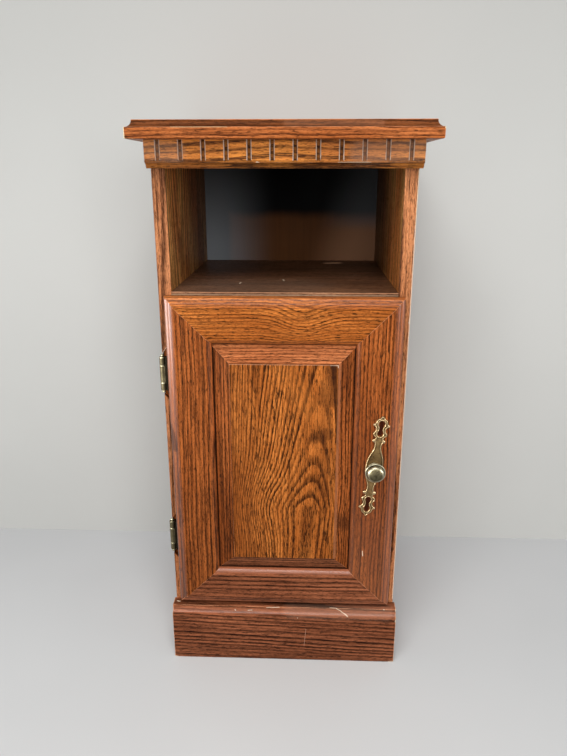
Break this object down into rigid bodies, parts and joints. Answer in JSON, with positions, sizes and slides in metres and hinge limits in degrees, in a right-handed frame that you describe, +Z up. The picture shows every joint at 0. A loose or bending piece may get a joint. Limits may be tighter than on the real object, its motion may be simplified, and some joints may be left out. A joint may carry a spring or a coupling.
{
  "type": "storage side table with door",
  "caption": "Tall narrow side table in stained oak with a moulded overhanging top, a dentil cornice, an open niche and a cupboard behind a hinged raised-panel door.",
  "frame": {"origin": "on the floor, midway across the width and midway between the knob's crown in front and the rear edges of the side panels", "axes": "+Z up, the door faces -Y, +X to the right as seen from the front (the knob's side)"},
  "size_m": [0.343, 0.346, 0.713],
  "materials": {
    "stained_oak": "orange-brown stain under a satin lacquer, open dark pores",
    "dark_plywood": "dark stained, smooth, dull",
    "bare_softwood": "bare, sawn",
    "antique_brass": "aged, satin, brighter where it is rubbed",
    "zinc_steel": "zinc plated",
    "ferrite": "sintered, matt",
    "brown_plastic": "moulded, matt"
  },
  "bodies": {
    "cabinet": {"table_top": "stained_oak", "sub_top": "stained_oak", "niche_shelf": "stained_oak", "bottom_panel": "stained_oak", "side_panel_left": "stained_oak", "side_panel_right": "stained_oak", "back_panel": "dark_plywood", "cornice_strip": "stained_oak", "plinth_board": "stained_oak", "plinth_glue_blocks": "bare_softwood", "top_screws": "zinc_steel", "back_panel_nails": "zinc_steel", "cornice_pins": "zinc_steel", "plinth_pins": "zinc_steel", "hinge_case_leaf_upper": "antique_brass", "hinge_case_leaf_lower": "antique_brass", "hinge_pin_upper": "antique_brass", "hinge_pin_lower": "antique_brass", "hinge_case_screws": "antique_brass", "catch_case": "brown_plastic", "catch_magnet": "ferrite", "catch_pole_plates": "zinc_steel", "catch_screws": "zinc_steel"},
    "door": {"door_stile_left": "stained_oak", "door_stile_right": "stained_oak", "door_rail_top": "stained_oak", "door_rail_bottom": "stained_oak", "panel_field": "stained_oak", "panel_bevel_left": "stained_oak", "panel_bevel_right": "stained_oak", "panel_bevel_top": "stained_oak", "panel_bevel_bottom": "stained_oak", "door_mitre_splines": "bare_softwood", "hinge_door_leaf_upper": "antique_brass", "hinge_door_leaf_lower": "antique_brass", "hinge_door_screws": "antique_brass", "knob": "antique_brass", "knob_backplate": "antique_brass", "knob_screw": "zinc_steel", "strike_plate": "zinc_steel", "strike_screw": "zinc_steel"}
  },
  "joints": [
    {"name": "door_swing", "type": "hinge", "parent": "cabinet", "child": "door", "pos_m": [-0.153, -0.12425, 0.30075], "axis": [0, 0, -1], "range_deg": [0, 180]}
  ]
}
